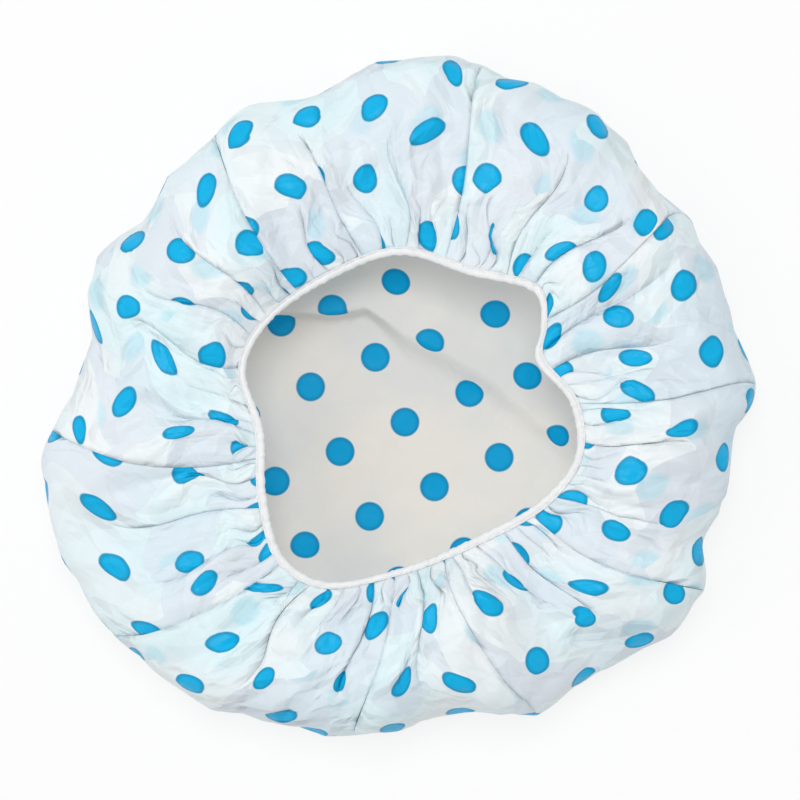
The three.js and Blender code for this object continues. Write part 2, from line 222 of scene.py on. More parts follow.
# film: one flat disc, gathered into the hem
film = {
    "flatRadius": 236.0,
    "thickness": 0.15,
    "meanSteps": 960,  # round the mean shape, on each quarter ellipse of it and down its parabola
    "quarterSteps": 20,
    "fallSteps": 24,
    "crownRings": 32,
    "crownRadius": 84.0,
    "crownGives": (60.0, 84.0),  # out here the crown gives as much as the skirt's columns do
    "bellyRings": (132.0, 12),  # rings out to this radius, then to the hem's own rings
    "skirtRings": 34,
    "edgeRings": [14, 11.5, 9.2, 7.2, 5.4, 3.9, 2.6, 1.5, 0.7, 0],  # distance from the film's edge
    # tucks: degrees at the hem and at the far end, reach from the hem, and lean, which is how far
    # the tuck lies over: above 0 the panel on its left, seen from the hem, is uppermost
    "tucks": [
        (5, 3, 94, 0.7), (12, 10, 45, -0.4), (19, 16, 56, 0.7), (27, 29, 62, -0.5), (36, 34, 90, 0.3),
        (47, 41, 58, 0.8), (56, 59, 60, 0.3), (66, 68, 34, -0.5), (78, 76, 92, 0.4), (92, 92, 52, 0.2),
        (100, 104, 36, 0.4), (107, 112, 64, -0.6), (119, 120, 40, 0.5), (132, 124, 96, 0.5),
        (145, 140, 62, -0.7), (153, 153, 60, -0.4), (164, 163, 58, -0.7), (176, 170, 34, 0.4),
        (186, 176, 42, 0.5), (195, 183, 98, -0.5), (211, 198, 66, -0.6), (220, 212, 56, 0.3),
        (228, 217, 95, 0.6), (239, 238, 60, -0.3), (248, 246, 28, 0.3), (257, 258, 60, -0.5),
        (264, 262, 92, 0.4), (272, 275, 58, -0.4), (283, 294, 92, 0.6), (297, 311, 46, -0.5),
        (309, 313, 58, 0.3), (321, 329, 94, -0.6), (331, 339, 56, 0.4), (341, 346, 56, -0.4),
        (352, 353, 54, 0.5),
    ],
    "tuckBend": 2.2,  # degrees, the most that a tuck wavers on its way
    "tuckGap": 0.3,  # between its lips, or less where it is shallow
    "gapShare": 0.25,  # half the gap is no more than this share of the depth
    "tuckTilt": 0.6,
    "tuckClosing": 45.0,  # a tuck dies away over this length, or its reach where that is shorter
    "edgeStep": 0.7,  # how far the upper panel of a leaning tuck stands over the lower one
    "fullStepAt": 5.0,  # where the tuck is this deep
    "edgeDepth": (0.25, 1.1),  # deepest tuck in the binding's slot, and how it deepens on the way out
    "leastLip": (1.0, 0.2),  # a lip is this long, or this share of a narrow panel
    # how much of a panel's spare film a tuck takes, against its neighbour: at least a little, and more
    # on the way from its far end to half its reach
    "takes": (0.7, 1.3),
    "leastTaken": 0.02,
    "takesFrom": (1.0, 0.5),
    # columns of the mesh on each panel, beside the five of a tuck: two lips, two walls and a bottom
    "panelSteps": 3,
    "panelArch": 0.09,  # a panel stands up between its tucks by this share of its width
    "archReach": (55.0, 8.0),
    "fineTucks": 76,
    "fineScatter": 0.7,
    "fineReach": (9.0, 30.0),
    "fineLean": 0.8,
    "closestTucks": 1.7,  # degrees, from a fine tuck to a listed one
    "leastApart": 0.8,  # degrees, between any two tucks
    "spread": (1.0, 1.3),  # a tuck that has ended evens out over this, in reaches
    "neverSpread": 92.0,  # but for those with at least this reach
    "evenOut": (112.0, 148.0),  # further in, the columns of the mesh become even
    "seed": 7,
    # swells of the skirt: how far out, how many to the round and where they start
    "puffs": [(2.0, 5, 0.6), (1.5, 7, 2.4), (1.0, 11, 1.3), (0.8, 14, 4.0)],
    "puffReach": [(0.0, 22.0), (100.0, 62.0)],  # distances from the hem: they begin, they die away
    "facetSize": 30.0,  # crumple: flat facets of about this size, and how steep they are
    "facetSlope": 0.15,
    "facetReach": [(2.0, 30.0), (135.0, 105.0)],
    "facetSeed": 5,
}

# a fold across the crown: points on its crest, how high it stands and how wide each side is, at its
# left end and its right end
crownFold = {
    "crest": [
        (-80, 32), (-43, 34.7), (-27.4, 33.6), (-19, 34.9), (-12.4, 36.4), (-5, 32), (4.3, 25.6),
        (19.2, 19), (37.8, 7.9), (56.4, -7.9), (95, -36),
    ],
    "slant": 0.9,  # distance square to the crest, for each millimetre along y
    "heights": (9.0, 4.0),
    "lowers": (-45.0, 67.0),  # where along x the fold becomes lower
    "steepSide": (1.6, 8.0),
    "gentleSide": 32.0,
    "softened": (-16.0, 10.0),  # where along x the steep side turns into the soft one
    "takenUp": [(7.1, 9.0), (3.4, 6.2)],  # film that the fold hides, and which way
    "takenTurns": (-10.0, 60.0),  # where along x the first turns into the second
    "steepHides": 0.75,  # share of that film under the steep side, up to a little past the crest
    "pastCrest": 0.3,
    "printFade": (150.0, 88.0),
    "fade": (84.0, 66.0),
    "drawnIn": 12.0,  # the mesh is finer within this distance of the crest
    "drawnPower": 0.7,
}


# distance beyond the fold's crest, and the width of its steep side
def beyondFold(xy):
    f = crownFold
    crest = np.asarray(f["crest"], float)
    line = np.interp(xy[..., 0], crest[:, 0], crest[:, 1])
    steep = blend(f["steepSide"], smooth(*f["softened"], xy[..., 0]))
    return f["slant"] * (xy[..., 1] - line), steep


# draws points in towards the crest, so that its steep side has enough of them
def drawnIn(xy, rho):
    f = crownFold
    beyond, _ = beyondFold(xy)
    apart = np.clip(np.abs(beyond) / f["drawnIn"], 0, 1)
    shift = beyond * (apart ** f["drawnPower"] - 1) * smooth(*f["fade"], rho)
    return xy + np.stack([0 * shift, shift], -1)


def foldHeight(xy, rho):
    f = crownFold
    beyond, steep = beyondFold(xy)
    high = blend(f["heights"], smooth(*f["lowers"], xy[..., 0]))
    side = np.where(beyond < 0, smooth(-1, 0, beyond / steep), 1 - smooth(0, f["gentleSide"], beyond))
    return high * side * smooth(*f["fade"], rho)


# where a point of the disc is on the printed sheet: beyond the fold the print is further on, by the
# film that the fold takes up; out past the crown this dies away
def printPlace(flat, rho):
    f = crownFold
    beyond, steep = beyondFold(flat)
    onSteep = f["steepHides"] * smooth(-1, f["pastCrest"], beyond / steep)
    passed = onSteep + (1 - f["steepHides"]) * smooth(0, f["gentleSide"], beyond)
    hidden = blend(np.asarray(f["takenUp"]), smooth(*f["takenTurns"], flat[..., 0])[..., None])
    return flat + hidden * (passed * smooth(*f["printFade"], rho))[..., None]


# mean shape of the film: straight out over the floor, a quarter ellipse to the belly, another back
# up to the crest, then a parabola down to the hem; the rings are spread along it as on the disc, and
# each column gives a little to be as long as its path
def meanFilm(rho, phi):
    centre = np.asarray(cap["filmCentre"])
    belly = bellyRadius(phi)[:, None]
    bellyAt = centre + belly * heading(phi)
    edge = hemPlace(phi, np.zeros_like(phi), np.zeros_like(phi))
    back = edge[:, :2] - bellyAt
    span = np.linalg.norm(back, axis=1, keepdims=True)
    high = crestAt(phi)[:, None]
    low = cap["bellyHeight"] + 0 * high
    overhang = cap["bellyOverhang"]
    inset = cap["crestInset"]
    quarter = np.linspace(0, np.pi / 2, film["quarterSteps"])[None, 1:]
    falling = np.linspace(0, 1, film["fallSteps"])[None, 1:]
    foot = belly - overhang
    out = np.concatenate([0 * foot, foot, foot + overhang * np.sin(quarter)], 1)
    toCrest = inset * (1 - np.cos(quarter)) + 0 * span
    inward = np.concatenate([toCrest, inset + (span - inset) * falling], 1) / span
    up = [0 * foot, 0 * foot, low * (1 - np.cos(quarter)), low + (high - low) * np.sin(quarter),
          high + (edge[:, 2:] - high) * falling ** 2]
    lower = centre + out[..., None] * heading(phi)[:, None, :]
    upper = bellyAt[:, None, :] + inward[..., None] * back[:, None, :]
    path = np.concatenate([np.concatenate([lower, upper], 1), np.concatenate(up, 1)[..., None]], -1)
    steps = np.linalg.norm(np.diff(path, axis=1), axis=2)
    length = np.concatenate([np.zeros((len(phi), 1)), steps.cumsum(1)], 1)
    length *= film["flatRadius"] / length[:, -1:]
    columns = [[np.interp(rho, l, p[:, axis]) for axis in range(3)] for l, p in zip(length, path)]
    return np.asarray(columns).transpose(2, 0, 1)


# unit normals, away from the inside of the cap: the run round a ring crossed with the run to the hem
def surfaceNormals(x):
    around = np.roll(x, -1, axis=1) - np.roll(x, 1, axis=1)
    toHem = np.gradient(x, axis=0)
    n = np.cross(around, toHem)
    return n / (np.linalg.norm(n, axis=2, keepdims=True) + 1e-9)


# crumple: the least of many pyramids, each about its own point and turned its own way, which makes
# flat facets that meet in straight creases
def facets(rho, phi):
    f = film
    rng = np.random.default_rng(f["facetSeed"])
    count = int(np.pi * (f["flatRadius"] / f["facetSize"]) ** 2)
    tops = f["flatRadius"] * np.sqrt(rng.random(count))[:, None] * heading(turn * rng.random(count))
    flat = rho[:, None, None] * heading(phi)
    height = np.full(flat.shape[:2], np.inf)
    for top, turned in zip(tops, rng.uniform(0, np.pi / 2, count)):
        away = flat - top
        ahead = heading(turned)
        side = np.abs(away @ ahead) + np.abs(away @ np.array([-ahead[1], ahead[0]]))
        np.minimum(height, side, out=height)
    return f["facetSlope"] * (height - height.mean())


# the listed tucks and, between them, fine ones close to the hem
def allTucks(rng):
    f = film
    hand = np.asarray(f["tucks"], float)
    places = f["fineTucks"]
    spare = 360 * (np.arange(places) + f["fineScatter"] * rng.random(places)) / places
    apart = np.abs(np.mod(spare[:, None] - hand[:, 0] + 180, 360) - 180).min(1)
    spare = spare[apart > f["closestTucks"]]
    count = len(spare)
    reach = rng.uniform(*f["fineReach"], count)
    drift = np.interp(spare, hand[:, 0], (hand[:, 1] - hand[:, 0]) / hand[:, 2], period=360)
    lean = rng.uniform(-f["fineLean"], f["fineLean"], count)
    fine = np.stack([spare, spare + drift * reach, reach, lean], 1)
    table = np.concatenate([hand, fine])
    table = table[np.argsort(table[:, 0])]
    bend = f["tuckBend"] * rng.uniform(-1, 1, len(table))
    return np.radians(table[:, 0]), np.radians(table[:, 1]), table[:, 2], table[:, 3], np.radians(bend)


# angles of the tucks at a distance from the hem, in order and never closer than a small step; one that
# has ended goes to its place in the row between the longer ones at its two sides
def tuckAngles(atHem, atEnd, reach, bend, fromHem):
    f = film
    way = np.minimum(fromHem / reach, 1)
    angle = atHem + (atEnd - atHem) * way + bend * np.sin(turn * way)
    ended = smooth(*f["spread"], fromHem / reach) * (reach < f["neverSpread"])
    count = len(reach)
    for k in np.argsort(-reach, kind="stable"):
        if ended[k] > 0:
            longer = np.flatnonzero(reach > reach[k])
            order = np.concatenate([longer - count, longer, longer + count])
            known = np.concatenate([angle[longer] - turn, angle[longer], angle[longer] + turn])
            angle[k] += (np.interp(k, order, known) - angle[k]) * ended[k]
    least = np.radians(f["leastApart"]) * np.arange(count)
    return np.maximum.accumulate(angle - least) + least


# where each tuck's bottom is along a ring of the flat disc: a tuck that has begun keeps to one radius
# of the disc; one that hasn't yet lies on the panel between two that have, which isn't stretched
def flatPlaces(known, begun, at, whole, flatRound, weight):
    on = np.flatnonzero(begun)
    if len(on) == 0:
        return known
    index = np.arange(len(known))
    before = np.searchsorted(on, index, side="right") - 1
    after = before + 1
    lap = np.where(before < 0, -1, 0)
    nextLap = np.where(after == len(on), 1, 0)
    a = on[before]
    b = on[after % len(on)]
    flatWidth = known[b] - known[a] + (nextLap - lap) * flatRound
    width = at[b] - at[a] + (nextLap - lap) * whole
    excess = np.maximum(flatWidth - width, 0)
    way = (at - at[a] - lap * whole) / width
    riding = known[a] + lap * flatRound + excess * weight[a] / (weight[a] + weight[b])
    return np.where(begun, known, riding + way * (flatWidth - excess))


# length along a closed ring, at each of its points and at the end of the round
def ringRun(ring):
    steps = np.linalg.norm(np.roll(ring, -1, axis=0) - ring, axis=1)
    return np.concatenate([[0], steps.cumsum()])


# where an angle is along a ring, also past its full round; closed has the angles of the ring's points
def runAt(angle, closed, run):
    return np.interp(np.mod(angle, turn), closed, run) + run[-1] * np.floor(angle / turn)


# a tuck's three bends, with a point halfway down each wall
def withWalls(left, bottom, right):
    return np.stack([left, (left + bottom) / 2, bottom, (bottom + right) / 2, right], 1)


# the tucks' five points each, and those of the panel up to the next one, all round the ring
def withPanels(five, panelWay, ringLength):
    following = np.append(five[1:, 0], five[0, 0] + ringLength)
    across = five[:, 4:] + (following[:, None] - five[:, 4:]) * panelWay
    return np.concatenate([five, across], 1).ravel()


# gathers: each ring of the film lies on the mean surface in panels, and what a panel is too long for
# goes down in the narrow tucks at its two sides; a leaning tuck lies over to one side, under a panel
# that stands a little over its neighbour; the columns of the mesh run along the lips and bottoms of
# the tucks, and each point keeps its place on the flat disc
def gatheredFilm(rho):
    f = film
    rng = np.random.default_rng(f["seed"])
    phi = np.arange(f["meanSteps"]) / f["meanSteps"] * turn
    closed = np.append(phi, turn)
    mean = meanFilm(rho, phi)
    fromHem = f["flatRadius"] - rho
    normal = surfaceNormals(mean)
    puff = sum(high * np.cos(count * phi + start) for high, count, start in f["puffs"])
    swell = hump(f["puffReach"], fromHem)[:, None] * puff
    crumpled = hump(f["facetReach"], fromHem)[:, None] * facets(rho, phi)
    mean = np.concatenate([mean + (swell - crumpled)[..., None] * normal, normal], 2)
    atHem, atEnd, reach, lean, bend = allTucks(rng)
    count = len(reach)
    takes = rng.uniform(*f["takes"], count)
    tilt = f["tuckTilt"] * lean
    inSlot, deepens = f["edgeDepth"]
    shortest, lipShare = f["leastLip"]
    panelWay = np.arange(1, f["panelSteps"] + 1) / (f["panelSteps"] + 1)
    arched = smooth(*f["archReach"], fromHem) * smooth(f["edgeRings"][-4], f["edgeRings"][2], fromHem)
    columns = count * (f["panelSteps"] + 5)
    even = np.arange(columns) / columns * turn
    flatTo = None
    points = []
    flatAngles = []
    for j, ring in enumerate(mean):
        angle = tuckAngles(atHem, atEnd, reach, bend, fromHem[j])
        run = ringRun(ring[:, :3])
        whole = run[-1]
        flatRound = turn * rho[j]
        at = runAt(angle, closed, run)
        panel = np.append(at[1:], at[0] + whole) - at
        # where the tucks are on the flat disc, and so how much film goes down their walls
        begun = fromHem[j] <= reach
        weight = f["leastTaken"] + takes * smooth(*f["takesFrom"], fromHem[j] / reach)
        known = rho[j] * (flatTo if begun.any() else angle)
        flatAt = flatPlaces(known, begun, at, whole, flatRound, weight)
        flatTo = flatAt / rho[j]
        excess = np.maximum(np.append(flatAt[1:], flatAt[0] + flatRound) - flatAt - panel, 0)
        portion = weight / (weight + np.roll(weight, -1))
        closing = smooth(0, np.minimum(f["tuckClosing"], reach), reach - fromHem[j])
        leftWall = np.roll((1 - portion) * excess, 1) * closing
        rightWall = portion * excess * closing
        # their form
        deepest = inSlot + deepens * max(fromHem[j] - f["edgeRings"][-3], 0)
        depth = np.minimum((leftWall + rightWall) / 2, deepest)
        least = np.minimum(shortest, lipShare * np.minimum(panel, np.roll(panel, 1)))
        leftLip = np.maximum(leftWall, least)
        rightLip = np.maximum(rightWall, least)
        gap = np.minimum(0.5 * f["tuckGap"], f["gapShare"] * depth)
        step = f["edgeStep"] * lean * np.minimum(depth / f["fullStepAt"], 1)
        sink = depth * np.sqrt(1 - tilt ** 2)
        leftAt = at - np.maximum(gap, leftLip - leftWall)
        rightAt = at + np.maximum(gap, rightLip - rightWall)
        # the columns of the mesh, on the disc, along the ring and below it
        flatTuck = withWalls(flatAt - leftLip, flatAt, flatAt + rightLip)
        flatAngle = withPanels(flatTuck, panelWay, flatRound) / rho[j]
        along = withPanels(withWalls(leftAt, at + tilt * depth, rightAt), panelWay, whole)
        arch = 4 * np.outer(f["panelArch"] * panel * arched[j], panelWay * (1 - panelWay))
        down = withPanels(withWalls(step, sink, -step), panelWay, 0)
        down -= np.concatenate([np.zeros((count, 5)), arch], 1).ravel()
        # towards the crown they become even
        evened = smooth(*f["evenOut"], fromHem[j])
        spread = even + np.mean(flatAngle - even)
        flatAngle = blend((flatAngle, spread), evened)
        along = blend((along, runAt(spread, closed, run)), evened)
        place = np.interp(np.mod(along, whole), run, closed)
        lying = np.stack([np.interp(place, phi, column, period=turn) for column in ring.T], 1)
        points.append(lying[:, :3] - down[:, None] * lying[:, 3:])
        flatAngles.append(flatAngle)
    points = np.asarray(points)
    np.maximum(points[..., 2], f["thickness"] / 2, out=points[..., 2])
    return points, np.asarray(flatAngles)


# the film's mesh: a fan and coarse rings on the crown, one ring of triangles that doubles the
# columns, then the skirt
def buildFilm():
    f = film
    crownRho = f["crownRadius"] * np.arange(1, f["crownRings"] + 1) / (f["crownRings"] + 1)
    edge = f["flatRadius"] - np.asarray(f["edgeRings"], float)
    skirtRho = np.concatenate([
        np.linspace(f["crownRadius"], f["bellyRings"][0], f["bellyRings"][1], endpoint=False),
        np.linspace(f["bellyRings"][0], edge[0], f["skirtRings"], endpoint=False), edge])
    skirt, flatAngle = gatheredFilm(skirtRho)
    report("film gathered")
    n = skirt.shape[1]
    coarse = flatAngle[0, ::2]
    centre = np.asarray(cap["filmCentre"])
    crownFlat = (centre + crownRho[:, None, None] * heading(coarse)).reshape(-1, 2)
    crownReach = np.concatenate([[0], np.repeat(crownRho, len(coarse))])
    crownFlat = drawnIn(np.concatenate([[centre], crownFlat]), crownReach)
    gives = np.linalg.norm(skirt[0, ::2, :2] - centre, axis=1) / f["crownRadius"] - 1
    gives = np.outer(smooth(*f["crownGives"], crownRho), gives)
    crownAt = centre + (crownFlat - centre) * (1 + np.concatenate([[0], gives.ravel()]))[:, None]
    height = f["thickness"] / 2 + foldHeight(crownFlat, crownReach)
    crown = np.concatenate([crownAt, height[:, None]], 1)
    skirtFlat = (centre + skirtRho[:, None, None] * heading(flatAngle)).reshape(-1, 2)
    flat = np.concatenate([crownFlat, skirtFlat])
    uvs = printPlace(flat, np.concatenate([crownReach, np.repeat(skirtRho, n)])) * mm
    c = np.arange(len(coarse))
    last = 1 + (len(crownRho) - 1) * len(coarse)
    first = len(crown)
    beside = (c + 1) % len(coarse)
    outer = [first + (2 * c + k) % n for k in range(3)]
    faceSets = [
        np.stack([0 * c, 1 + c, 1 + beside], -1)[:, ::-1],
        gridFaces(len(crownRho), len(coarse), False, True, 1),
        np.stack([last + c, last + beside, outer[1]], -1),
        np.stack([last + c, outer[1], outer[0]], -1),
        np.stack([last + beside, outer[2], outer[1]], -1),
        gridFaces(len(skirtRho), n, False, True, first),
    ]
    piece = newPiece("capFilm", np.concatenate([crown, skirt.reshape(-1, 3)]), faceSets, uvs, "flat")
    wall = piece.modifiers.new("wall", "SOLIDIFY")
    wall.thickness = f["thickness"] * mm
    wall.offset = 0
    wall.material_offset = 1
    return piece


# puckers of the binding: never below 0, so that they only stand out
def pucker(angle):
    rng = np.random.default_rng(binding["seed"])
    wave = sum(high * wander(rng, angle, low, top) for high, low, top in binding["puckers"])
    return np.maximum(wave + sum(high for high, _, _ in binding["puckers"]), 0)


# the binding's section: an ellipse between two straight lips on the outside, the same one wall
# further in on the inside; each point has the direction in which puckers push it
def bindingSection():
    b = binding

    def side(halfWidth, halfHeight, lip):
        start = math.asin(lip / halfHeight)
        around = np.linspace(start, turn - start, b["arcSteps"])
        arc = np.stack([elasticCentre + halfWidth * np.cos(around), halfHeight * np.sin(around)], 1)
        push = np.stack([np.cos(around) / halfWidth, np.sin(around) / halfHeight], 1)
        push /= np.linalg.norm(push, axis=1, keepdims=True)
        run = np.linspace(b["lipLength"], arc[0, 0], b["lipSteps"], endpoint=False)
        lipAt = np.stack([run, np.full_like(run, lip)], 1)
        over = np.tile([0.0, 1.0], (len(run), 1))
        mirror = np.array([1.0, -1.0])
        return (np.concatenate([lipAt, arc, lipAt[::-1] * mirror]),
                np.concatenate([over, push, over * mirror]))

    sizes = np.array([b["tunnelHalfWidth"], b["tunnelHalfHeight"], b["slotHalfHeight"]])
    outer, outerPush = side(*(sizes + b["thickness"]))
    inner, innerPush = side(*sizes)
    return np.concatenate([outer, inner[::-1]]), np.concatenate([outerPush, innerPush[::-1]])


def buildBinding():
    b = binding
    section, push = bindingSection()
    angle = hemAngle(np.arange(b["stations"]) / b["stations"])[:, None]
    skew = b["skew"] * np.linspace(-1, 1, len(section) // 2)
    lift = pucker(angle + np.concatenate([skew, skew[::-1]]))
    across = section[:, 0] + lift * push[:, 0]
    over = section[:, 1] + lift * push[:, 1]
    points = hemPlace(angle + 0 * across, across, over)
    width = np.concatenate([[0], np.linalg.norm(np.diff(section, axis=0), axis=1).cumsum()])
    length = np.arange(b["stations"])[:, None] / b["stations"] * cap["mouthLength"]
    uvs = np.stack(np.broadcast_arrays(length, width), -1).reshape(-1, 2) * mm
    faces = gridFaces(*across.shape, True, True)
    return newPiece("hemBinding", points.reshape(-1, 3), [faces], uvs, "strip")


# a round tube along a path: circles square to it, laid out from a direction that it never runs along
def tube(name, path, radius, sides, closed, crosswise):
    if closed:
        along = np.roll(path, -1, axis=0) - np.roll(path, 1, axis=0)
    else:
        along = np.gradient(path, axis=0)
    along /= np.linalg.norm(along, axis=1, keepdims=True)
    first = crosswise - (along * crosswise).sum(1, keepdims=True) * along
    first /= np.linalg.norm(first, axis=1, keepdims=True)
    second = np.cross(along, first)
    around = np.arange(sides) / sides * turn
    points = path[:, None, :] + radius * (
        np.cos(around)[:, None] * first[:, None, :] + np.sin(around)[:, None] * second[:, None, :])
    faceSets = [gridFaces(len(path), sides, closed, True)[:, ::-1]]
    if not closed:
        ends = np.stack([np.arange(sides)[::-1], (len(path) - 1) * sides + np.arange(sides)])
        faceSets.append(ends)
    steps = np.linalg.norm(np.diff(path, axis=0), axis=1)
    length = np.concatenate([[0], steps.cumsum()])[:, None]
    uvs = np.stack(np.broadcast_arrays(length * mm, around / turn), -1).reshape(-1, 2)
    return newPiece(name, points.reshape(-1, 3), faceSets, uvs, "strip")


# seam: a zigzag on each lip, whose corners go down into the needle holes
seam = {
    "threadDiameter": 0.14,
    "zigzagWidth": 0.5,
    "zigzagCount": 104,
    "stepsPerZigzag": 16,
    "cornerSharpness": 0.97,
    "cornerDip": 0.09,
    "cornerPower": 8,  # the dip is as short as this power of the swing makes it
    "sides": 6,
}


def buildStitches(name, side):
    t = seam
    count = t["zigzagCount"] * t["stepsPerZigzag"]
    share = np.arange(count) / count
    angle = hemAngle(share)
    sharp = t["cornerSharpness"]
    swing = np.arcsin(sharp * np.sin(share * t["zigzagCount"] * turn)) / math.asin(sharp)
    lip = binding["slotHalfHeight"] + binding["thickness"]
    across = binding["lipLength"] / 2 + swing * t["zigzagWidth"] / 2
    dip = t["cornerDip"] * np.abs(swing) ** t["cornerPower"]
    over = lip + t["threadDiameter"] / 2 + pucker(angle) - dip
    path = hemPlace(angle, across, side * over)
    above = hemPlace(angle, across, side * over + 1) - path
    return tube(name, path, t["threadDiameter"] / 2, t["sides"], True, above)


# elastic: a flat ribbed band that climbs by one layer on its way round, so that its ends lap, and the
# thread wound round the lap
elastic = {
    "width": 1.2,
    "thickness": 0.4,
    "ribs": 5,
    "ribDepth": 0.14,
    "lapLength": 12.0,
    "lapGap": 0.12,
    "stations": 860,
    "sectionSteps": 40,
    "squareness": 0.35,
    "whippingTurns": 6,
    "whippingLength": 8.0,
    "whippingClearance": 0.1,
    "whippingSteps": 32,
    "ahead": 0.01,  # radians further along the hem, to find which way it runs
}


# a rounded rectangle: powers of sine and cosine under 1 square off an ellipse
def squaredRound(angle, power):
    c = np.cos(angle)
    s = np.sin(angle)
    return np.sign(c) * np.abs(c) ** power, np.sign(s) * np.abs(s) ** power


def buildElastic():
    e = elastic
    way = np.linspace(0, 1, e["stations"])[:, None]
    lap = e["lapLength"] / cap["mouthLength"]
    share = way * (1 + lap) - lap / 2
    level = (e["thickness"] + e["lapGap"]) * (1 + lap) * (way - 0.5)
    around = (np.arange(e["sectionSteps"]) + 0.5) / e["sectionSteps"] * turn
    wide, high = squaredRound(around, e["squareness"])
    ribs = 1 - e["ribDepth"] * (0.5 + 0.5 * np.cos(e["ribs"] * np.pi * wide))
    across = elasticCentre + e["width"] / 2 * wide + 0 * way
    over = level + e["thickness"] / 2 * high * ribs
    points = hemPlace(hemAngle(share) + 0 * across, across, over)
    count = e["sectionSteps"]
    ends = np.stack([np.arange(count), (e["stations"] - 1) * count + np.arange(count)[::-1]])
    faceSets = [gridFaces(e["stations"], count, False, True), ends]
    uvs = np.stack(np.broadcast_arrays(share * cap["mouthLength"], wide * e["width"] / 2), -1)
    return newPiece("elasticBand", points.reshape(-1, 3), faceSets, uvs.reshape(-1, 2) * mm, "strip")


def buildWhipping():
    e = elastic
    way = np.linspace(0, 1, e["whippingTurns"] * e["whippingSteps"] + 1)
    reach = e["whippingClearance"] + seam["threadDiameter"] / 2
    wide, high = squaredRound(way * e["whippingTurns"] * turn, e["squareness"])
    across = elasticCentre + wide * (e["width"] / 2 + reach)
    over = high * (e["thickness"] + e["lapGap"] / 2 + reach)
    angle = hemAngle((way - 0.5) * e["whippingLength"] / cap["mouthLength"])
    path = hemPlace(angle, across, over)
    alongHem = hemPlace(angle + e["ahead"], across, over) - path
    return tube("elasticWhipping", path, seam["threadDiameter"] / 2, seam["sides"], False, alongHem)


# materials: one wrapper round a socket, so that shader maths reads as plain expressions
class Value:
    def __init__(self, tree, socket):
        self.tree = tree
        self.socket = socket

    def node(self, kind, settings=None, **inputs):
        made = self.tree.nodes.new(kind)
        for name, setting in (settings or {}).items():
            setattr(made, name, setting)
        for name, value in inputs.items():
            key = int(name[1:]) if name[1:].isdigit() else name.replace("_", " ")
            if isinstance(value, Value):
                self.tree.links.new(value.socket, made.inputs[key])
            else:
                made.inputs[key].default_value = value
        return Value(self.tree, next(out for out in made.outputs if out.enabled))

    def of(self, name):
        return Value(self.tree, self.socket.node.outputs[name])

    def math(self, operation, other=0.0):
        return self.node("ShaderNodeMath", {"operation": operation}, i0=self, i1=other)

    def into(self, node, name):
        self.tree.links.new(self.socket, node.inputs[name])

    def between(self, low, high):
        return self.node("ShaderNodeMapRange", {"interpolation_type": "SMOOTHSTEP"},
                         Value=self, From_Min=low, From_Max=high)

    def tint(self, first, second):
        return self.node("ShaderNodeMix", {"data_type": "RGBA"}, i0=self, i6=first, i7=second)

    def noise(self, scale, detail):
        return self.node("ShaderNodeTexNoise", Vector=self, Scale=scale, Detail=detail)

    def bump(self, shader, strength, distance):
        made = self.node("ShaderNodeBump", Height=self, Strength=strength, Distance=distance)
        made.into(shader, "Normal")

    def __add__(self, other):
        return self.math("ADD", other)

    def __sub__(self, other):
        return self.math("SUBTRACT", other)

    def __mul__(self, other):
        return self.math("MULTIPLY", other)

    def __truediv__(self, other):
        return self.math("DIVIDE", other)

    def __rsub__(self, other):
        return (self * -1.0).math("ADD", other)

    __radd__ = __add__
    __rmul__ = __mul__


def newMaterial(name, **constants):
    material = bpy.data.materials.new(name)
    material.use_nodes = True
    shader = material.node_tree.nodes["Principled BSDF"]
    for key, value in constants.items():
        shader.inputs[key.replace("_", " ")].default_value = value
    return material, shader, Value(material.node_tree, None)


# print: round dots on a square net, turned a little on the sheet
dots = {
    "pitch": 0.029,
    "diameter": 0.0118,
    "turned": 24.5,
    "at": (0.0034, -0.0100),
    "softEdge": 0.012,  # in pitches, as is the darker band
    "edgeBand": 0.08,
}


# dots of the layers behind, which show faintly through parts of the skirt
ghost = {
    "turned": 11.0,
    "at": (0.0120, 0.0045),
    "softEdge": 0.06,
    "strength": 0.48,
    "facets": (0.55, 0.60),  # the facets that show them, by their random green
    "tone": (0.42, 0.78, 0.90, 1),
}


# distance to the nearest dot's middle, in pitches of the net
def fromDot(split, turned, at):
    x = split.of("X") - at[0]
    y = split.of("Y") - at[1]
    c = math.cos(math.radians(turned)) / dots["pitch"]
    s = math.sin(math.radians(turned)) / dots["pitch"]
    u = (x * c + y * s + 0.5).math("FLOORED_MODULO", 1.0) - 0.5
    v = (y * c - x * s + 0.5).math("FLOORED_MODULO", 1.0) - 0.5
    return (u * u + v * v).math("SQRT")


# crumple of the film: flat facets of two sizes, and fine pleats near the hem; distances from the
# middle of the disc are in metres
crumple = {
    "largeScale": 30.0,
    "large": 3.2,
    "smallScale": 85.0,
    "small": 1.2,
    "smallTurned": (0.0, 0.0, 0.6),
    "warpScale": 30.0,  # the facets' sides are bent by this noise
    "warp": (0.010, 0.010, 0.0),
    "cloudScale": 45.0,
    "cloud": 0.2,
    "onCrown": 0.2,  # share of the skirt's crumple
    "skirtFrom": (0.08, 0.13),
    "pleatScale": 55.0,
    "pleats": 0.9,
    "pleatsFrom": (0.17, 0.235),
    "height": 0.001,
    "paintedFacetShade": 0.6,  # painted shade: some facets are darker and greyer, where less light comes through
    "paintedShadeFacets": (0.45, 0.75),
    "paintedShadeTone": (0.72, 0.79, 0.88, 1),
}
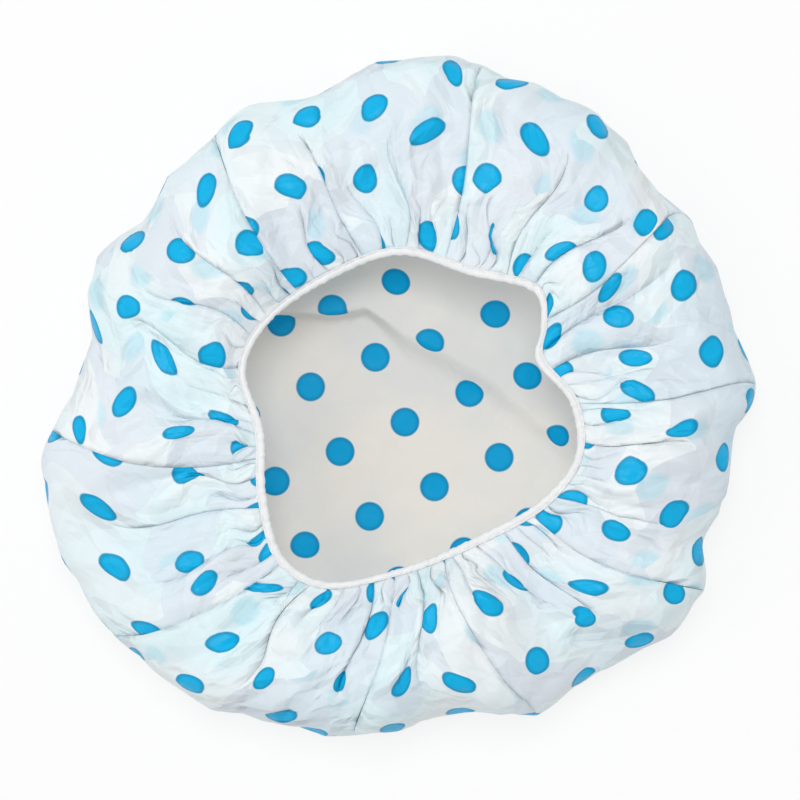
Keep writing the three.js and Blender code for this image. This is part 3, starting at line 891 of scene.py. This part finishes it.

# the film's two faces: tones of the crown and of the skirt, each a pair that lies in patches, the ink in
# the middle and at the edge of a dot, and a painted glow that stands in for the light that comes through
# the skirt
nothing = (0, 0, 0, 1)
filmFaces = {
    "dottedFilm": {
        "gloss": 0.25,
        "crown": ((0.76, 0.93, 0.97, 1), (0.89, 0.94, 0.96, 1)),
        "skirt": ((0.76, 0.93, 0.97, 1), (0.89, 0.94, 0.96, 1)),
        "ink": (0.001, 0.47, 0.84, 1),
        "inkEdge": (0.001, 0.30, 0.54, 1),
        "through": nothing,
    },
    # painted shade: the inside face is greyer and warmer than the outside, most on the crown inside the
    # mouth, for the shade inside the cap; its darker ink is partly the print seen through the film and
    # partly painted shade
    "filmInsideShaded": {
        "gloss": 0.1,
        "crown": ((0.70, 0.70, 0.68, 1), (0.79, 0.75, 0.69, 1)),
        "skirt": ((0.76, 0.76, 0.75, 1), (0.82, 0.80, 0.77, 1)),
        "ink": (0.001, 0.33, 0.63, 1),
        "inkEdge": (0.001, 0.24, 0.46, 1),
        # painted glow: emission that stands in for the light that comes through the skirt
        "through": (0.30, 0.31, 0.31, 1),
    },
}
sheetLook = {
    "refraction": 1.45,
    "patchScale": 14.0,
    "patches": (0.36, 0.64),
    "skirtFrom": (0.10, 0.14),
    "throughFrom": (0.11, 0.14),
    "roughness": (0.34, 0.14),  # least, and what the clouds add
}


def filmFace(name):
    face = filmFaces[name]
    look = sheetLook
    material, shader, start = newMaterial(
        name, IOR=look["refraction"], Specular_IOR_Level=face["gloss"], Emission_Strength=1.0)
    material.cycles.emission_sampling = "NONE"
    place = start.node("ShaderNodeUVMap", {"uv_map": "flat"})
    away = fromDot(start.node("ShaderNodeSeparateXYZ", Vector=place), dots["turned"], dots["at"])
    behind = fromDot(start.node("ShaderNodeSeparateXYZ", Vector=place), ghost["turned"], ghost["at"])
    radius = 0.5 * dots["diameter"] / dots["pitch"]
    inked = 1 - away.between(radius - dots["softEdge"], radius + dots["softEdge"])
    edge = away.between(radius - dots["edgeBand"], radius)
    showing = 1 - behind.between(radius - ghost["softEdge"], radius + ghost["softEdge"])
    fromMiddle = start.node("ShaderNodeVectorMath", {"operation": "SUBTRACT"}, i0=place,
                            i1=(cap["filmCentre"][0] * mm, cap["filmCentre"][1] * mm, 0.0))
    reach = start.node("ShaderNodeVectorMath", {"operation": "LENGTH"}, i0=fromMiddle)
    cloud = place.noise(crumple["cloudScale"], 4.0)
    patch = place.noise(look["patchScale"], 3.0)
    warp = place.noise(crumple["warpScale"], 2.0).of("Color")
    bent = start.node("ShaderNodeVectorMath", {"operation": "MULTIPLY_ADD"},
                      i0=warp, i1=crumple["warp"], i2=place)
    turned = start.node("ShaderNodeMapping", Vector=bent, Rotation=crumple["smallTurned"])
    facet = {"feature": "F1", "distance": "MANHATTAN"}
    large = start.node("ShaderNodeTexVoronoi", facet, Vector=bent, Scale=crumple["largeScale"])
    small = start.node("ShaderNodeTexVoronoi", facet, Vector=turned, Scale=crumple["smallScale"])
    shade = start.node("ShaderNodeSeparateColor", Color=large.of("Color"))
    tone = patch.between(*look["patches"])
    # painted shade: a darker, greyer tone on some facets
    paintedFacetShade = shade.between(*crumple["paintedShadeFacets"]) * crumple["paintedFacetShade"]
    layered = showing * shade.of("Green").between(*ghost["facets"]) * ghost["strength"]
    crumpled = layered.tint(paintedFacetShade.tint(tone.tint(*face["skirt"]), crumple["paintedShadeTone"]), ghost["tone"])
    plain = reach.between(*look["skirtFrom"]).tint(tone.tint(*face["crown"]), crumpled)
    inked.tint(plain, edge.tint(face["ink"], face["inkEdge"])).into(shader, "Base Color")
    # painted glow: the skirt's inside face, off the dots, gives out light that stands in for light coming
    # through the film
    glow = reach.between(*look["throughFrom"]).tint(nothing, inked.tint(face["through"], nothing))
    glow.into(shader, "Emission Color")
    least, more = look["roughness"]
    (least + more * cloud).into(shader, "Roughness")
    outward = start.node("ShaderNodeVectorMath", {"operation": "NORMALIZE"}, i0=fromMiddle)
    pleats = outward.noise(crumple["pleatScale"], 2.0) * reach.between(*crumple["pleatsFrom"])
    onSkirt = reach.between(*crumple["skirtFrom"]) * (1 - crumple["onCrown"]) + crumple["onCrown"]
    crinkle = (large * crumple["large"] + small * crumple["small"]) * onSkirt + cloud * crumple["cloud"]
    (crinkle + pleats * crumple["pleats"]).bump(shader, 1.0, crumple["height"])
    return material


# woven strips: two tones that lie in patches, the pitch of the threads, and how rough they are
strips = {
    "bindingStrip": {
        "tones": ((0.88, 0.89, 0.90, 1), (0.93, 0.94, 0.94, 1)),
        "pitch": 0.00035,
        "roughness": 0.7,
    },
    "elasticKnit": {
        "tones": ((0.70, 0.68, 0.62, 1), (0.80, 0.78, 0.72, 1)),
        "pitch": 0.00024,
        "roughness": 0.85,
    },
}
weave = {
    "patchScale": 160.0,
    "patches": (0.3, 0.7),
    "fluffScale": 2200.0,
    "fluff": 1.5,
    "bump": 0.4,
    "height": 0.00005,
}


# threads that cross at right angles, with a little fluff
def stripMaterial(name):
    look = strips[name]
    material, shader, start = newMaterial(name, Roughness=look["roughness"])
    place = start.node("ShaderNodeUVMap", {"uv_map": "strip"})
    split = start.node("ShaderNodeSeparateXYZ", Vector=place)
    along = (split.of("X") * (turn / look["pitch"])).math("SINE")
    across = (split.of("Y") * (turn / look["pitch"])).math("SINE")
    fluff = place.noise(weave["fluffScale"], 3.0)
    patch = place.noise(weave["patchScale"], 2.0)
    patch.between(*weave["patches"]).tint(*look["tones"]).into(shader, "Base Color")
    (along * across + fluff * weave["fluff"]).bump(shader, weave["bump"], weave["height"])
    return material


# thread: plies that wind round it, with painted shade in the grooves between them
plies = {
    "count": 2.0,
    "twist": 0.00022,  # metres to one turn
    "tones": ((0.62, 0.62, 0.62, 1), (0.92, 0.92, 0.92, 1)),
    "plyGrooveShadeFrom": (-1.0, 0.4),
    "roughness": 0.55,
    "sheen": 0.2,
    "bump": 0.5,
    "height": 0.00003,
}


def threadMaterial(name):
    material, shader, start = newMaterial(
        name, Roughness=plies["roughness"], Sheen_Weight=plies["sheen"])
    place = start.node("ShaderNodeUVMap", {"uv_map": "strip"})
    split = start.node("ShaderNodeSeparateXYZ", Vector=place)
    ply = ((split.of("X") / plies["twist"] + split.of("Y") * plies["count"]) * turn).math("SINE")
    # painted shade: darker in the grooves between the plies, lighter on their crowns
    ply.between(*plies["plyGrooveShadeFrom"]).tint(*plies["tones"]).into(shader, "Base Color")
    ply.bump(shader, plies["bump"], plies["height"])
    return material


filmPiece = buildFilm()
report("film built")
bindingPiece = buildBinding()
needleThread = buildStitches("needleThread", 1)
bobbinThread = buildStitches("bobbinThread", -1)
elasticPiece = buildElastic()
whipping = buildWhipping()
report("hem built")

outside = filmFace("dottedFilm")
# the inside face carries painted shade
inside = filmFace("filmInsideShaded")
strip = stripMaterial("bindingStrip")
band = stripMaterial("elasticKnit")
thread = threadMaterial("sewingThread")

for piece, node, slot, materials in (
    (filmPiece, "cap_film", "film", [outside, inside]),
    (bindingPiece, "hem_binding", "binding", [strip]),
    (needleThread, "needle_thread", "thread", [thread]),
    (bobbinThread, "bobbin_thread", "thread", [thread]),
    (elasticPiece, "elastic_band", "elastic", [band]),
    (whipping, "elastic_whipping", "thread", [thread]),
):
    for material in materials:
        piece.data.materials.append(material)
    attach(piece, "root")
    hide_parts(node)
flatWidth = 2 * film["flatRadius"] * mm
math.pi * flatWidth ** 2 / 4
report("pieces dressed")

# floor, light and camera
ground = {
    "halfWidth": 3.0,
    "below": 0.0002,
    "tone": (0.95, 0.95, 0.95, 1),
    "roughness": 0.9,
    "plainWhite": 0.78,  # share of plain white in what is seen of it; the rest keeps the shadow
}
half = ground["halfWidth"]
sides = ((-half, -half), (half, -half), (half, half), (-half, half))
corners = [(x, y, -ground["below"]) for x, y in sides]
floorMesh = bpy.data.meshes.new("floor")
floorMesh.from_pydata(corners, [], [(0, 1, 2, 3)])
floor = bpy.data.objects.new("floor", floorMesh)
bpy.context.collection.objects.link(floor)
floorMaterial, floorShader, floorStart = newMaterial(
    "paleFloor", Base_Color=ground["tone"], Roughness=ground["roughness"])
ray = floorStart.node("ShaderNodeLightPath")
seen = ray.of("Is Camera Ray").math("MAXIMUM", ray.of("Is Glossy Ray"))
seen = seen.math("MAXIMUM", ray.of("Is Transmission Ray"))
white = floorStart.node("ShaderNodeEmission", Color=(1, 1, 1, 1), Strength=1.0)
matt = Value(floorMaterial.node_tree, floorShader.outputs["BSDF"])
backdrop = floorStart.node("ShaderNodeMixShader", i0=seen * ground["plainWhite"], i1=matt, i2=white)
backdrop.into(floorMaterial.node_tree.nodes["Material Output"], "Surface")
floorMesh.materials.append(floorMaterial)

# lamps, each with its place, size and power, the sky's strength and the camera
studio = {
    "key": ((-0.05, 0.5, 1.8), 0.9, 12.0),
    "fill": ((-1.1, -0.1, 1.3), 1.2, 4.3),
    "sky": 0.56,
    "cameraPlace": (0.0014, -0.001, 1.2),  # it looks straight down
    "frameHalf": 0.160,  # half the width that it sees, at this distance
    "frameAway": 1.178,
}


def areaLight(name, place, size, power):
    data = bpy.data.lights.new(name, "AREA")
    data.shape = "DISK"
    data.size = size
    data.energy = power
    lamp = bpy.data.objects.new(name, data)
    bpy.context.collection.objects.link(lamp)
    lamp.location = place
    lamp.rotation_euler = (-Vector(place)).to_track_quat("-Z", "Y").to_euler()


areaLight("key", *studio["key"])
areaLight("fill", *studio["fill"])
world = bpy.data.worlds.new("studio")
world.use_nodes = True
world.node_tree.nodes["Background"].inputs["Color"].default_value = (1, 1, 1, 1)
world.node_tree.nodes["Background"].inputs["Strength"].default_value = studio["sky"]
bpy.context.scene.world = world

cameraData = bpy.data.cameras.new("camera")
camera = bpy.data.objects.new("camera", cameraData)
bpy.context.collection.objects.link(camera)
camera.location = studio["cameraPlace"]
cameraData.sensor_fit = "HORIZONTAL"
cameraData.angle = 2 * math.atan(studio["frameHalf"] / studio["frameAway"])
bpy.context.scene.camera = camera
bpy.context.scene.view_settings.view_transform = "Standard"

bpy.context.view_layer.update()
report("done")
